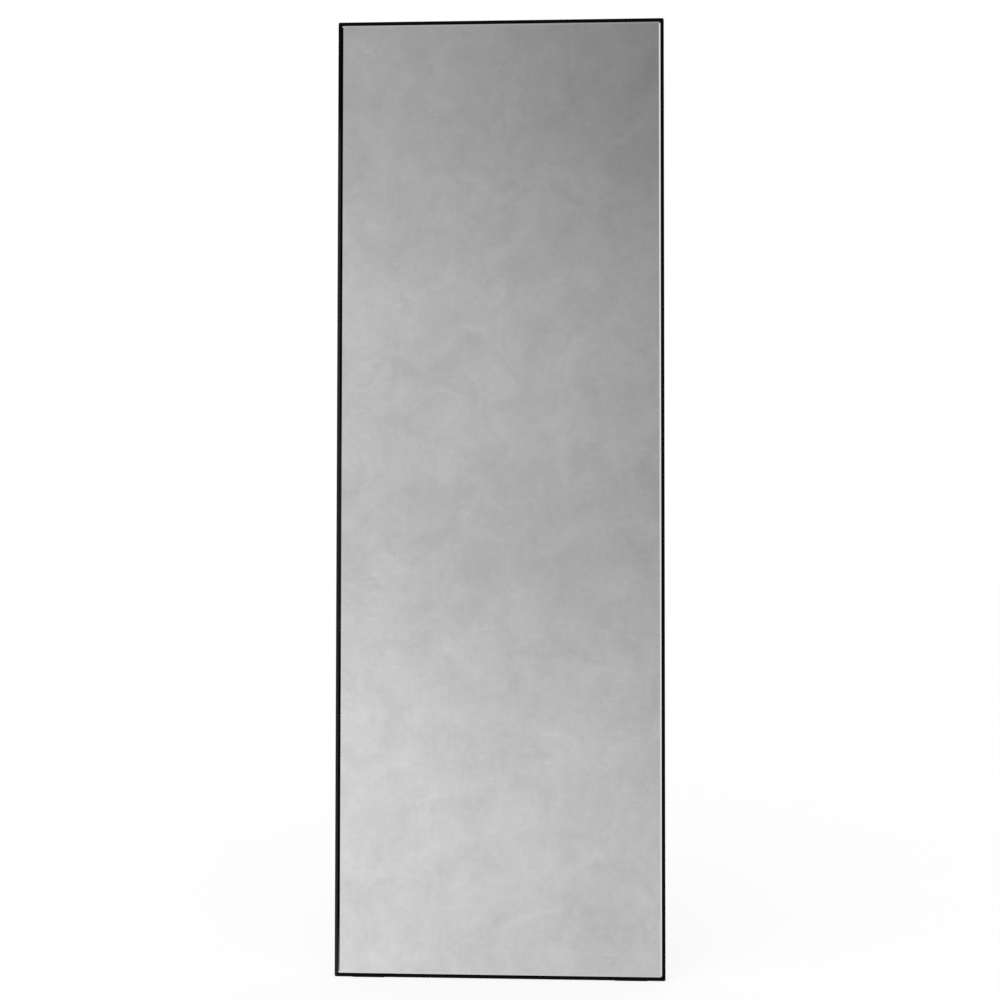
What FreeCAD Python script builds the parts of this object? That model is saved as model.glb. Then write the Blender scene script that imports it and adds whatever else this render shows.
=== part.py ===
import FreeCAD, Part
import math
import os
import re
import Sketcher

# Leaning floor mirror: a slim mitred metal frame, open at the front, with a glass pane bonded to a
# board that drops onto the frame's inner shelf. Millimetres. Width along X, the front faces -Y, +Z up,
# and the origin is at the middle of the base.
#
# The frame is one extruded section, seen here across a bar (front at the left, outer face at the bottom):
#
#     pane side          shelf   channel
#                        |  +-----------+
#                        |  |  lip   ---+
#     nose_____          |  |
#     |        \_________|__|  lip   ---+
#     |_________________________________|
#
# The channel behind the shelf holds the corner keys, the screws and the bumpers.

SIZES = [
    ("frame_width", 582, "outside, across the stiles"),
    ("frame_height", 1699.5, "outside, over the rails"),
    ("frame_depth", 23.5, "front edge to back edge of the section"),
    ("nose_width", 4.8, "the dark line seen from the front"),
    ("nose_depth", 8.0, "depth over which the bar keeps the nose width"),
    ("wall", 2.0, "outer wall behind the nose"),
    ("section_width", 22.0, "outer face to the shelf's inner edge"),
    ("shelf_thickness", 1.8, "shelf that the board rests on"),
    ("upstand_wall", 1.6, "inner wall of the channel"),
    ("lip_width", 5.2, "each lip that narrows the channel's mouth"),
    ("lip_thickness", 1.6, "lips, along the depth"),
    ("edge_round", 0.5, "rounded arrises of the section"),
    ("corner_round", 3.5, "frame corners, in the front view"),
    ("glass_recess", 1.0, "front edge of the frame to the glass"),
    ("glass_thickness", 4.0, "float glass"),
    ("glass_gap", 1.2, "nose to the edge of the glass and board"),
    ("bevel_width", 2.8, "polished bevel round the front of the glass"),
    ("bevel_depth", 0.5, "what the bevel takes off the glass's edge"),
    ("bevel_corner", 0.5, "rounding of the flat face inside the bevel"),
    ("glass_arris", 0.5, "fine chamfer round the back of the glass"),
    ("pane_corner", 1.5, "dubbed corners of film and board"),
    ("film_thickness", 0.2, "safety film on the silvering"),
    ("film_margin", 3.0, "edge of the glass to the edge of the film"),
    ("tape_thickness", 0.8, "double-sided tape"),
    ("tape_width", 20.0, "one strip"),
    ("tape_inset", 60.0, "side of the frame to the outer strips' middle"),
    ("tape_margin", 50.0, "strips' ends to the frame's outside"),
    ("tape_strips", 4, "number of strips"),
    ("board_thickness", 9.0, "fibre board"),
    ("board_chamfer", 0.6, "back edges of the board"),
    ("block_length", 40.0, "setting block under the pane"),
    ("block_inset", 130.0, "side of the frame to a block's middle"),
    ("block_recess", 1.5, "front of the glass to the front of a block"),
    ("key_leg", 60.0, "frame's corner to the end of a key's leg"),
    ("key_thickness", 4.5, "corner key, along the depth"),
    ("key_play", 0.2, "key to the walls of the channel"),
    ("key_round", 4.0, "inner corner of the key"),
    ("key_lead", 1.5, "chamfered ends of the legs"),
    ("grub_diameter", 5.0, "corner key's screws"),
    ("grub_length", 4.5, "corner key's screws"),
    ("grub_socket", 2.5, "hexagon across flats"),
    ("grub_socket_depth", 2.2, "hexagon's depth"),
    ("grub_reach", 42.0, "frame's corner to the screw in each leg"),
    ("screw_play", 0.05, "radial play of a screw in its hole"),
    ("shelf_hole", 4.4, "clearance holes in the shelf"),
    ("board_screw", 3.9, "shank of the screws into the board"),
    ("board_screw_length", 8.0, "under the head"),
    ("board_screw_head", 7.4, "head's diameter"),
    ("board_screw_crown", 2.3, "head's height"),
    ("board_screw_first", 130.0, "frame's corner to the first screw"),
    ("rail_screws", 2, "screws in each rail"),
    ("stile_screws", 4, "screws in each stile"),
    ("head_rim", 0.8, "upright rim of a screw's head"),
    ("head_top", 0.65, "head's flat top, as a share of its diameter"),
    ("hanger_drop", 300.0, "top of the frame to the ring's pivot"),
    ("hanger_inset", 95.0, "side of the frame to the ring's middle"),
    ("strap_width", 14.0, "hanger strap"),
    ("strap_sheet", 1.2, "strap's metal"),
    ("strap_length", 39.0, "pivot to the strap's end"),
    ("strap_fold", 15.5, "pivot to the end of the folded layer"),
    ("strap_slope", 6.3, "pivot to where the layers meet"),
    ("strap_hole", 3.8, "holes in the strap"),
    ("strap_hole_near", 10.2, "pivot to the first hole"),
    ("strap_hole_far", 32.0, "pivot to the second hole"),
    ("hanger_screw", 3.5, "shank of the strap's screws"),
    ("hanger_screw_length", 8.6, "under the head"),
    ("hanger_screw_head", 6.8, "head's diameter"),
    ("hanger_screw_crown", 2.1, "head's height"),
    ("ring_wire", 3.5, "D-ring's wire"),
    ("ring_play", 0.25, "wire to the strap's fold, radially"),
    ("ring_width", 26.0, "middle of the wire, across the ring"),
    ("ring_shoulder", 4.0, "bend beside the straight bar"),
    ("ring_side", 8.0, "pivot to the start of the round end"),
    ("bumper_head", 15.0, "bumper, across the bar"),
    ("bumper_length", 30.0, "bumper, along the bar"),
    ("bumper_height", 1.5, "bumper behind the frame"),
    ("bumper_round", 0.6, "bumper's rounded edges"),
    ("bumper_play", 0.1, "stem to the channel's mouth"),
    ("bumper_barb", 0.8, "barb behind each lip"),
    ("bumper_barb_height", 1.8, "barb, along the depth"),
    ("bumper_reach", 92.0, "end of the frame to a bumper's middle"),
    ("foot_thickness", 0.5, "non-slip pad under the bottom rail"),
    ("foot_length", 60.0, "pad, along the rail"),
    ("foot_margin", 0.0, "pad's long edges to the faces of the rail"),
    ("foot_corner", 4.0, "pad's corners"),
    ("foot_inset", 60.0, "side of the frame to a pad's middle"),
]

# Places worked out from the sizes. Depths are counted from the frame's front edge.
DERIVED = {
    "front": "-(frame_depth + bumper_height) / 2",
    "frame_top": "foot_thickness + frame_height",
    "pane_edge": "nose_width + glass_gap",
    "glass_back": "glass_recess + glass_thickness",
    "film_back": "glass_back + film_thickness",
    "board_front": "film_back + tape_thickness",
    "shelf_front": "board_front + board_thickness",
    "shelf_back": "shelf_front + shelf_thickness",
    "lip_front": "frame_depth - lip_thickness",
    "channel_far": "section_width - upstand_wall",
    "mouth_near": "wall + lip_width",
    "mouth_far": "channel_far - lip_width",
    "channel_middle": "(wall + channel_far) / 2",
    "pivot_depth": "shelf_front + strap_sheet + ring_wire / 2 + ring_play",
    "pivot_height": "frame_top - hanger_drop",
    "fold_radius": "ring_wire / 2 + ring_play",
    "glass_corner": "bevel_width + bevel_corner",
}

# The frame's corners, across and up, each a quarter turn about Y on from the one before.
CORNERS = {
    "bottom_left": ("-frame_width / 2", "foot_thickness"),
    "top_left": ("-frame_width / 2", "frame_top"),
    "top_right": ("frame_width / 2", "frame_top"),
    "bottom_right": ("frame_width / 2", "foot_thickness"),
}

QUARTER_TURN = 90
FULL_TURN = 360
HEXAGON = 6
CUT_MARGIN = 1.0
PLANE_TOLERANCE = 1e-6

doc = FreeCAD.newDocument("LeaningMirror")
sheet = doc.addObject("Spreadsheet::Sheet", "Sizes")
for row, (alias, value, meaning) in enumerate(SIZES, start=1):
    sheet.set(f"A{row}", alias)
    sheet.set(f"B{row}", str(value))
    sheet.setAlias(f"B{row}", alias)
    sheet.set(f"C{row}", meaning)
doc.recompute()

ALIASES = {alias for alias, value, meaning in SIZES}
NODES = []


def formula(text):
    """Return text as an expression on the sheet, with every derived place written out."""

    def name(match):
        word = match.group(0)
        if word in DERIVED:
            return "(" + formula(DERIVED[word]) + ")"
        if word in ALIASES:
            return "Sizes." + word
        return word

    return re.sub(r"[a-z_]+[a-z_0-9]*", name, text)


def size(text):
    """Return the value of a size or formula, in millimetres."""
    return sheet.evalExpression(formula(text))


# ---------------------------------------------------------------- sketches and features


def corner_angle(corner):
    """Return the angle about Y that lays a bar or key at a corner."""
    return list(CORNERS).index(corner) * QUARTER_TURN


def turned(axis, angle):
    """Return a placement that turns a piece about one axis through the origin."""
    return FreeCAD.Placement(FreeCAD.Vector(), FreeCAD.Rotation(FreeCAD.Vector(*axis), angle))


def new_body(label, place, corner="bottom_left"):
    """Start a piece with its own label, placed by formulas and turned as its corner of the frame is."""
    body = doc.addObject("PartDesign::Body", label)
    body.Label = label
    body.Placement = turned((0, 1, 0), corner_angle(corner))
    for axis, text in zip("xyz", place):
        body.setExpression("Placement.Base." + axis, formula(text))
    NODES.append(body)
    return body


def new_sketch(body, name, plane, offset="0"):
    """Start a sketch on one of the body's own planes, moved along the plane's normal by offset."""
    sketch = body.newObject("Sketcher::SketchObject", name)
    support = next(f for f in body.Origin.OriginFeatures if f.Role == plane)
    sketch.AttachmentSupport = [(support, "")]
    sketch.MapMode = "FlatFace"
    sketch.setExpression("AttachmentOffset.Base.z", formula(offset))
    return sketch


def fix(sketch, kind, index, position, text):
    """Hold one point's distance from the sketch's origin at a formula."""
    number = sketch.addConstraint(Sketcher.Constraint(kind, -1, 1, index, position, size(text)))
    sketch.setExpression(f"Constraints[{number}]", formula(text))


def bend(start, end, radius, turn):
    """Return the minor arc from start to end that turns left (1) or right (-1)."""
    chord = end - start
    left = FreeCAD.Vector(-chord.y, chord.x, 0).normalize()
    height = math.sqrt(max(radius * radius - chord.Length * chord.Length / 4, 0))
    centre = (start + end) / 2 + left * height * turn
    first, last = (start, end) if turn > 0 else (end, start)
    circle = Part.Circle(centre, FreeCAD.Vector(0, 0, 1), radius)
    angles = [math.atan2(p.y - centre.y, p.x - centre.x) for p in (first, last)]
    return Part.ArcOfCircle(circle, *angles)


def outline(sketch, steps):
    """Draw a closed outline. A step is (x, y) for a line there, or (x, y, radius, turn) for an arc."""
    base = sketch.GeometryCount
    ends = [FreeCAD.Vector(size(step[0]), size(step[1]), 0) for step in steps]
    places = []
    for number, step in enumerate(steps):
        start = ends[number - 1]
        if len(step) == 2:
            sketch.addGeometry(Part.LineSegment(start, ends[number]), False)
            places.append((1, 2))
        else:
            sketch.addGeometry(bend(start, ends[number], size(step[2]), step[3]), False)
            places.append((1, 2) if step[3] > 0 else (2, 1))
    for number, step in enumerate(steps):
        follower = (number + 1) % len(steps)
        joint = ("Coincident", base + number, places[number][1], base + follower, places[follower][0])
        sketch.addConstraint(Sketcher.Constraint(*joint))
        fix(sketch, "DistanceX", base + number, places[number][1], step[0])
        fix(sketch, "DistanceY", base + number, places[number][1], step[1])
        if len(step) == 4:
            number_r = sketch.addConstraint(Sketcher.Constraint("Radius", base + number, size(step[2])))
            sketch.setExpression(f"Constraints[{number_r}]", formula(step[2]))


def circle(sketch, x, y, diameter):
    """Draw a circle, its middle and diameter given by formulas."""
    middle = FreeCAD.Vector(size(x), size(y), 0)
    index = sketch.addGeometry(Part.Circle(middle, FreeCAD.Vector(0, 0, 1), size(diameter) / 2), False)
    fix(sketch, "DistanceX", index, 3, x)
    fix(sketch, "DistanceY", index, 3, y)
    number = sketch.addConstraint(Sketcher.Constraint("Diameter", index, size(diameter)))
    sketch.setExpression(f"Constraints[{number}]", formula(diameter))


def rectangle(left, low, right, high, radius=None):
    """Return the steps of an upright rectangle, with rounded corners if a radius is given."""
    if radius is None:
        return [(left, low), (right, low), (right, high), (left, high)]
    near, far = f"{left} + {radius}", f"{right} - {radius}"
    bottom, top = f"{low} + {radius}", f"{high} - {radius}"
    return [
        (far, low), (right, bottom, radius, 1),
        (right, top), (far, high, radius, 1),
        (near, high), (left, top, radius, 1),
        (left, bottom), (near, low, radius, 1),
    ]


def pad(body, sketch, length, backwards=False):
    """Give a sketch its thickness. Backwards runs against the sketch's normal."""
    feature = body.newObject("PartDesign::Pad", sketch.Name + "_pad")
    feature.Profile = sketch
    feature.setExpression("Length", formula(length))
    feature.Reversed = backwards
    doc.recompute()
    return feature


def pocket(body, sketch, depth=None, backwards=False):
    """Cut a sketch out of the body, right through unless a depth is given."""
    before = body.Shape.Volume
    feature = body.newObject("PartDesign::Pocket", sketch.Name + "_pocket")
    feature.Profile = sketch
    feature.Reversed = backwards
    if depth is None:
        feature.Type = "ThroughAll"
    else:
        feature.setExpression("Length", formula(depth))
    doc.recompute()
    if body.Shape.Volume > before - PLANE_TOLERANCE:
        raise RuntimeError(f"{feature.Name} cuts nothing")
    return feature


def edges_at_depth(shape, depth):
    """Name the edges that lie in the plane at one depth."""
    names = []
    for number, edge in enumerate(shape.Edges, start=1):
        if all(abs(vertex.Y - depth) < PLANE_TOLERANCE for vertex in edge.Vertexes):
            names.append(f"Edge{number}")
    return names


def chamfer(body, base, depth, amount):
    """Chamfer all edges of the body that lie at one depth."""
    feature = body.newObject("PartDesign::Chamfer", f"{body.Name}_{amount}")
    feature.Base = (base, edges_at_depth(base.Shape, size(depth)))
    feature.setExpression("Size", formula(amount))
    doc.recompute()
    return feature


# ---------------------------------------------------------------- frame


def screw_runs():
    """Return, for each bar, its name, corner, length and number of board screws."""
    return [
        ("frame_rail_bottom", "bottom_left", "frame_width", "rail_screws"),
        ("frame_stile_left", "top_left", "frame_height", "stile_screws"),
        ("frame_rail_top", "top_right", "frame_width", "rail_screws"),
        ("frame_stile_right", "bottom_right", "frame_height", "stile_screws"),
    ]


def corner_place(corner, along, inward):
    """Return the place, across and up, of a point along a corner's bar and inwards from its outer face."""
    x, z = CORNERS[corner]
    turn = math.radians(corner_angle(corner))
    cosine, sine = round(math.cos(turn)), round(math.sin(turn))
    across = f"{x} + {cosine} * ({along}) + {sine} * ({inward})"
    up = f"{z} - {sine} * ({along}) + {cosine} * ({inward})"
    return across, up


def along_bar(length, count):
    """Return the distances from the bar's start to its board screws."""
    step = f"({length} - 2 * board_screw_first) / ({count} - 1)"
    return [f"board_screw_first + {number} * {step}" for number in range(round(size(count)))]


def section(sketch):
    """Draw the extrusion's section: depth to the right, inwards from the outer face upwards."""
    outline(sketch, [
        ("frame_depth - edge_round", "0"),
        ("frame_depth", "edge_round", "edge_round", 1),
        ("frame_depth", "mouth_near"),
        ("lip_front", "mouth_near"),
        ("lip_front", "wall"),
        ("shelf_back", "wall"),
        ("shelf_back", "channel_far"),
        ("lip_front", "channel_far"),
        ("lip_front", "mouth_far"),
        ("frame_depth", "mouth_far"),
        ("frame_depth", "section_width - edge_round"),
        ("frame_depth - edge_round", "section_width", "edge_round", 1),
        ("shelf_front", "section_width"),
        ("shelf_front", "wall"),
        ("nose_depth + nose_width - wall", "wall"),
        ("nose_depth", "nose_width"),
        ("edge_round", "nose_width"),
        ("0", "nose_width - edge_round", "edge_round", 1),
        ("0", "edge_round"),
        ("edge_round", "0", "edge_round", 1),
    ])


def mitre(sketch, start, sign):
    """Draw what is cut off at one end of a bar: the mitre, and the rounded corner of the frame."""

    def at(distance):
        return f"{start} {sign} ({distance})"

    inward = f"section_width + {CUT_MARGIN}"
    rounded = "corner_round * (1 - sqrt(0.5))"
    turn = -1 if sign == "+" else 1
    outline(sketch, [
        (at("corner_round"), "0"),
        (at(rounded), rounded, "corner_round", turn),
        (at(inward), inward),
        (at(f"-{CUT_MARGIN}"), inward),
        (at(f"-{CUT_MARGIN}"), f"-{CUT_MARGIN}"),
        (at("corner_round"), f"-{CUT_MARGIN}"),
    ])


def frame_bar(label, corner, length, count):
    """One bar: the section run along X from the corner, mitred at both ends, with its screw holes."""
    x, z = CORNERS[corner]
    body = new_body(label, (x, "front", z), corner)
    profile = new_sketch(body, label + "_section", "YZ_Plane")
    section(profile)
    pad(body, profile, length)
    ends = new_sketch(body, label + "_mitres", "XZ_Plane")
    mitre(ends, "0", "+")
    mitre(ends, length, "-")
    pocket(body, ends)
    holes = new_sketch(body, label + "_holes", "XZ_Plane")
    for distance in along_bar(length, count):
        circle(holes, distance, "channel_middle", "shelf_hole")
    pocket(body, holes)


def grub_places():
    """Return where a corner's grub screws lie: along its bar and inwards, one in each leg of the key."""
    return [("grub_reach", "channel_middle"), ("channel_middle", "grub_reach")]


def corner_key(corner):
    """An L-shaped plate in the channels of two bars, drilled for a grub screw in each leg."""
    x, z = CORNERS[corner]
    body = new_body("corner_key_" + corner, (x, "front", z), corner)
    plate = new_sketch(body, body.Name + "_plate", "XZ_Plane", "-(lip_front - key_thickness)")
    near, far = "wall + key_play", "channel_far - key_play"
    outline(plate, [
        ("key_leg - key_lead", near),
        ("key_leg", near + " + key_lead"),
        ("key_leg", far + " - key_lead"),
        ("key_leg - key_lead", far),
        (far + " + key_round", far),
        (far, far + " + key_round", "key_round", -1),
        (far, "key_leg - key_lead"),
        (far + " - key_lead", "key_leg"),
        (near + " + key_lead", "key_leg"),
        (near, "key_leg - key_lead"),
        (near, near + " + key_round"),
        (near + " + key_round", near, "key_round", 1),
    ])
    for place in grub_places():
        circle(plate, *place, "grub_diameter + 2 * screw_play")
    pad(body, plate, "key_thickness", backwards=True)


# ---------------------------------------------------------------- pane


def sheet_of(label, depth, thickness, edge, corner="pane_corner"):
    """A flat sheet behind the frame's opening, its outline a fixed distance in from the outside."""
    body = new_body(label, ("0", "front", "0"))
    face = new_sketch(body, label + "_face", "XZ_Plane", f"-({depth})")
    half = f"frame_width / 2 - ({edge})"
    low, high = f"foot_thickness + {edge}", f"frame_top - ({edge})"
    outline(face, rectangle(f"-({half})", low, half, high, corner))
    return body, pad(body, face, thickness, backwards=True)


def mirror_glass():
    """The pane, with a shallow bevel round the front and a fine chamfer round the back."""
    body, plate = sheet_of("mirror_glass", "glass_recess", "glass_thickness", "pane_edge", "glass_corner")
    arris = chamfer(body, plate, "glass_back", "glass_arris")
    bevel = chamfer(body, arris, "glass_recess", "bevel_depth")
    bevel.ChamferType = "Two distances"
    bevel.setExpression("Size2", formula("bevel_width"))
    doc.recompute()


def safety_film():
    """Film over the silvering, trimmed short of the glass's edge."""
    sheet_of("safety_film", "glass_back", "film_thickness", "pane_edge + film_margin")


def board_screw_places():
    """Return the middles of all board screws, across and up."""
    places = []
    for label, corner, length, count in screw_runs():
        for distance in along_bar(length, count):
            places.append(corner_place(corner, distance, "channel_middle"))
    return places


def hanger_x(side):
    """Return a hanger's distance from the middle: side is -1 at the left, 1 at the right."""
    return f"{side} * (frame_width / 2 - hanger_inset)"


def hanger_screw_places():
    """Return the middles of the strap's screws, across and up, with the metal under each head."""
    places = []
    for side in (-1, 1):
        places.append((hanger_x(side), "pivot_height - strap_hole_near", "2 * strap_sheet"))
        places.append((hanger_x(side), "pivot_height - strap_hole_far", "strap_sheet"))
    return places


def backing_board():
    """The board, its back edges eased, with blind holes for the screws from behind."""
    body, plate = sheet_of("backing_board", "board_front", "board_thickness", "pane_edge")
    chamfer(body, plate, "shelf_front", "board_chamfer")
    edge = new_sketch(body, "board_edge_holes", "XZ_Plane", "-(shelf_front)")
    for x, z in board_screw_places():
        circle(edge, x, z, "board_screw + 2 * screw_play")
    pocket(body, edge, "board_screw_length - shelf_thickness", backwards=True)
    for number, (x, z, metal) in enumerate(hanger_screw_places(), start=1):
        hole = new_sketch(body, f"board_hanger_hole_{number}", "XZ_Plane", "-(shelf_front)")
        circle(hole, x, z, "hanger_screw + 2 * screw_play")
        pocket(body, hole, f"hanger_screw_length - {metal}", backwards=True)


def tape_strips():
    """Upright strips of tape between the film and the board, evenly spaced."""
    strips = []
    count = round(size("tape_strips"))
    for number in range(count):
        strip = doc.addObject("Part::Box", f"tape_strip_{number + 1}")
        step = "(frame_width - 2 * tape_inset) / (tape_strips - 1)"
        left = f"-frame_width / 2 + tape_inset + {number} * {step} - tape_width / 2"
        strip.setExpression("Length", formula("tape_width"))
        strip.setExpression("Width", formula("tape_thickness"))
        strip.setExpression("Height", formula("frame_height - 2 * tape_margin"))
        strip.setExpression("Placement.Base.x", formula(left))
        strip.setExpression("Placement.Base.y", formula("front + film_back"))
        strip.setExpression("Placement.Base.z", formula("foot_thickness + tape_margin"))
        strips.append(strip)
    group("bonding_tape_strips", strips)


def setting_blocks():
    """Two rubber blocks on the bottom rail's nose, under the glass and the board."""
    blocks = []
    for side in (-1, 1):
        block = doc.addObject("Part::Box", "setting_block_" + ("left" if side < 0 else "right"))
        middle = f"{side} * (frame_width / 2 - block_inset)"
        block.setExpression("Length", formula("block_length"))
        block.setExpression("Width", formula("nose_depth - glass_recess - block_recess"))
        block.setExpression("Height", formula("glass_gap"))
        block.setExpression("Placement.Base.x", formula(f"{middle} - block_length / 2"))
        block.setExpression("Placement.Base.y", formula("front + glass_recess + block_recess"))
        block.setExpression("Placement.Base.z", formula("foot_thickness + nose_width"))
        blocks.append(block)
    group("glass_setting_blocks", blocks)


def group(label, pieces):
    """Gather identical loose pieces under one label, each still its own solid."""
    compound = doc.addObject("Part::Compound", label)
    compound.Label = label
    compound.Links = pieces
    NODES.append(compound)


# ---------------------------------------------------------------- screws


def pan_screw(name):
    """A screw along Y, its head's flat side at the origin and its tapering head towards +Y."""
    shank, length, head, crown = [size(name + part) for part in ("", "_length", "_head", "_crown")]
    corners = [
        (0, crown), (0, -length), (shank / 2, -length), (shank / 2, 0),
        (head / 2, 0), (head / 2, size("head_rim")), (head / 2 * size("head_top"), crown),
    ]
    half = Part.makePolygon([FreeCAD.Vector(*corner, 0) for corner in corners + corners[:1]])
    return Part.Face(half).revolve(FreeCAD.Vector(), FreeCAD.Vector(0, 1, 0), FULL_TURN)


def grub_screw():
    """A headless screw along Y from the origin towards +Y, with a hexagon socket in its far end."""
    length, depth = size("grub_length"), size("grub_socket_depth")
    body = Part.makeCylinder(size("grub_diameter") / 2, length, FreeCAD.Vector(), FreeCAD.Vector(0, 1, 0))
    radius = size("grub_socket") / 2 / math.cos(math.pi / HEXAGON)
    corners = []
    for number in range(HEXAGON + 1):
        angle = number * 2 * math.pi / HEXAGON
        corners.append(FreeCAD.Vector(math.cos(angle), 0, math.sin(angle)) * radius)
    hexagon = Part.Face(Part.makePolygon(corners)).extrude(FreeCAD.Vector(0, depth, 0))
    hexagon.translate(FreeCAD.Vector(0, length - depth, 0))
    return body.cut(hexagon)


def screws(label, screw, places):
    """Copies of one screw, each at its own place, as one group of separate solids."""
    copies = []
    for place in places:
        copy = screw.copy()
        copy.translate(FreeCAD.Vector(*[size(text) for text in place]))
        copies.append(copy)
    feature = doc.addObject("Part::Feature", label)
    feature.Label = label
    feature.Shape = Part.makeCompound(copies)
    NODES.append(feature)


def corner_key_screws():
    """Two grub screws in each key, which press on the shelf and jam the key against the lips."""
    places = []
    for corner in CORNERS:
        for place in grub_places():
            x, z = corner_place(corner, *place)
            places.append((x, "front + shelf_back", z))
    screws("corner_key_screws", grub_screw(), places)


def board_screws():
    """Pan-head screws through the shelf into the board."""
    places = [(x, "front + shelf_back", z) for x, z in board_screw_places()]
    screws("backing_board_screws", pan_screw("board_screw"), places)


def hanger_screws():
    """Two pan-head screws through each strap into the board."""
    places = [(x, f"front + shelf_front + {metal}", z) for x, z, metal in hanger_screw_places()]
    screws("hanger_screws", pan_screw("hanger_screw"), places)


# ---------------------------------------------------------------- hangers


def hanger_strap(label, side):
    """A strap folded round the ring's bar: one layer on the board, the other back over it to a slope."""
    body = new_body(label, (hanger_x(side), "front + shelf_front", "pivot_height"))
    fold = new_sketch(body, label + "_fold", "YZ_Plane", "-strap_width / 2")
    outer = "strap_sheet + fold_radius"
    outline(fold, [
        ("0", "0"),
        (outer, outer, outer, -1),
        (f"2 * ({outer})", "0", outer, -1),
        ("2 * strap_sheet", "-strap_slope"),
        ("2 * strap_sheet", "-strap_fold"),
        ("strap_sheet", "-strap_fold"),
        ("strap_sheet", "-strap_length"),
        ("0", "-strap_length"),
    ])
    circle(fold, outer, "0", "2 * fold_radius")
    pad(body, fold, "strap_width")
    holes = new_sketch(body, label + "_holes", "XZ_Plane")
    for drop in ("strap_hole_near", "strap_hole_far"):
        circle(holes, "0", "-" + drop, "strap_hole")
    pocket(body, holes)
    end = new_sketch(body, label + "_end", "XZ_Plane")
    half = "strap_width / 2"
    for hand in (-1, 1):
        low, rise = f"-strap_length - {CUT_MARGIN}", f"-strap_length + {half}"
        outline(end, [
            ("0", "-strap_length"),
            (f"{hand} * {half}", rise, half, hand),
            (f"{hand} * ({half} + {CUT_MARGIN})", rise),
            (f"{hand} * ({half} + {CUT_MARGIN})", low),
            ("0", low),
        ])
    pocket(body, end)


def wire_run(name, turn, length, x, z):
    """A straight stretch of the ring's wire."""
    run = doc.addObject("Part::Cylinder", name)
    run.setExpression("Radius", formula("ring_wire / 2"))
    run.setExpression("Height", formula(length))
    run.Placement = turn
    run.setExpression("Placement.Base.x", formula(x))
    run.setExpression("Placement.Base.z", formula(z))
    return run


def wire_bend(name, turn, sweep, radius, x, z):
    """A bent stretch of the ring's wire."""
    bent = doc.addObject("Part::Torus", name)
    bent.setExpression("Radius1", formula(radius))
    bent.setExpression("Radius2", formula("ring_wire / 2"))
    bent.Angle3 = sweep
    bent.Placement = turn
    bent.setExpression("Placement.Base.x", formula(x))
    bent.setExpression("Placement.Base.z", formula(z))
    return bent


def hanger_ring(label, side):
    """A D-ring bent from round wire: straight bar on the pivot, shoulders, sides and a round end."""
    half, straight = "ring_width / 2", "(ring_width / 2 - ring_shoulder)"
    upright, level = turned((1, 0, 0), 0), turned((0, 1, 0), QUARTER_TURN)
    rising, hanging = turned((1, 0, 0), QUARTER_TURN), turned((1, 0, 0), -QUARTER_TURN)
    falling = rising * turned((0, 0, 1), QUARTER_TURN)
    stretches = [
        wire_run(label + "_bar", level, f"2 * {straight}", f"-{straight}", "0"),
        wire_bend(label + "_near", rising, QUARTER_TURN, "ring_shoulder", straight, "-ring_shoulder"),
        wire_bend(label + "_far", falling, QUARTER_TURN, "ring_shoulder", f"-{straight}", "-ring_shoulder"),
        wire_bend(label + "_end", hanging, 2 * QUARTER_TURN, half, "0", "-ring_side"),
    ]
    for hand in (-1, 1):
        name = f"{label}_side_{len(stretches)}"
        stretches.append(wire_run(name, upright, "ring_side - ring_shoulder", f"{hand} * {half}", "-ring_side"))
    ring = doc.addObject("Part::MultiFuse", label)
    ring.Label = label
    ring.Shapes = stretches
    for axis, text in zip("xyz", (hanger_x(side), "front + pivot_depth", "pivot_height")):
        ring.setExpression("Placement.Base." + axis, formula(text))
    NODES.append(ring)


# ---------------------------------------------------------------- rubber


def wall_bumper(label, side, z):
    """A length of T-section pushed into the channel's mouth, held by a barb behind each lip."""
    x = f"{side} * (frame_width / 2 - channel_middle)"
    body = new_body(label, (x, "front + frame_depth", z))
    profile = new_sketch(body, label + "_section", "XY_Plane", "-bumper_length / 2")
    stem = "((mouth_far - mouth_near) / 2 - bumper_play)"
    barb = "((mouth_far - mouth_near) / 2 + bumper_barb)"
    head = "bumper_head / 2"
    inner = "-lip_thickness - bumper_barb_height"
    outline(profile, [
        (stem, inner),
        (barb, "-lip_thickness"),
        (stem, "-lip_thickness"),
        (stem, "0"),
        (head, "0"),
        (head, "bumper_height - bumper_round"),
        (f"{head} - bumper_round", "bumper_height", "bumper_round", 1),
        (f"-{head} + bumper_round", "bumper_height"),
        (f"-{head}", "bumper_height - bumper_round", "bumper_round", 1),
        (f"-{head}", "0"),
        (f"-{stem}", "0"),
        (f"-{stem}", "-lip_thickness"),
        (f"-{barb}", "-lip_thickness"),
        (f"-{stem}", inner),
    ])
    pad(body, profile, "bumper_length")


def foot_pad(label, side):
    """A thin pad with rounded corners under the bottom rail, as deep as the rail."""
    x = f"{side} * (frame_width / 2 - foot_inset)"
    body = new_body(label, (x, "front + frame_depth / 2", "0"))
    shape = new_sketch(body, label + "_shape", "XY_Plane")
    half, edge = "foot_length / 2", "(frame_depth / 2 - foot_margin)"
    outline(shape, rectangle(f"-{half}", f"-{edge}", half, edge, "foot_corner"))
    pad(body, shape, "foot_thickness")


# ---------------------------------------------------------------- the whole mirror

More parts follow.
